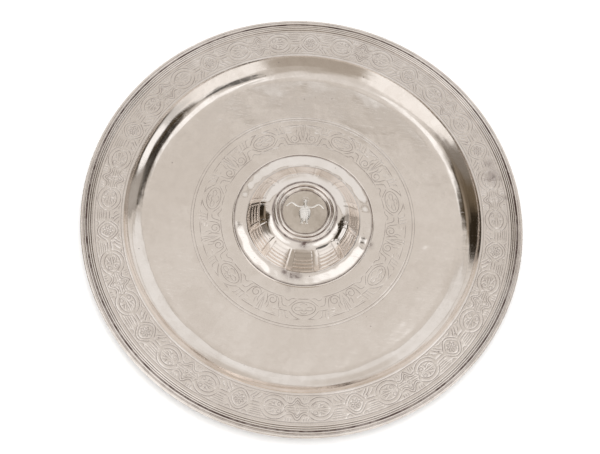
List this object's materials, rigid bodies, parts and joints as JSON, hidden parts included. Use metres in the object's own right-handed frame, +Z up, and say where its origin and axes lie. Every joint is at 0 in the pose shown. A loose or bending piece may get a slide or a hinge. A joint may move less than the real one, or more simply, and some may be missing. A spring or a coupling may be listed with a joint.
{
  "type": "offering plate",
  "caption": "Round raised silver alms dish with an engraved border, a shallow well, a reeded rim and a raised central boss that holds a bezelled print with a bird in relief.",
  "frame": {"origin": "centre of the flat underside that the dish rests on", "axes": "+Z up, along the dish's axis of revolution; the bird's upright axis is 7 degrees anticlockwise of +Y seen from above"},
  "size_m": [0.4569, 0.457, 0.0258],
  "materials": {
    "silver_sheet": "polished silver sheet, hand raised, lightly planished and engraved",
    "silver_moulding": "drawn silver wire, polished on the crests, tarnished in the grooves",
    "silver_edge": "drawn silver wire with warm tarnish on its outer face",
    "silver_chased": "chased silver sheet, polished",
    "silver_bezel": "turned silver ring, polished",
    "silver_print": "silver plate with a matted, slightly tarnished ground",
    "silver_cast": "cast and chased silver",
    "fixing_silver": "plain silver, unpolished",
    "fixing_brass": "machined brass, dulled"
  },
  "bodies": {
    "root": {"dish_body": "silver_sheet", "rim_moulding": "silver_moulding", "edge_wire": "silver_edge", "boss_shell": "silver_chased", "seam_wire": "silver_moulding", "bezel_ring": "silver_bezel", "print_disc": "silver_print", "bird_relief": "silver_cast", "print_stud": "fixing_silver", "backing_washer": "fixing_silver", "retaining_nut": "fixing_brass"}
  },
  "joints": []
}
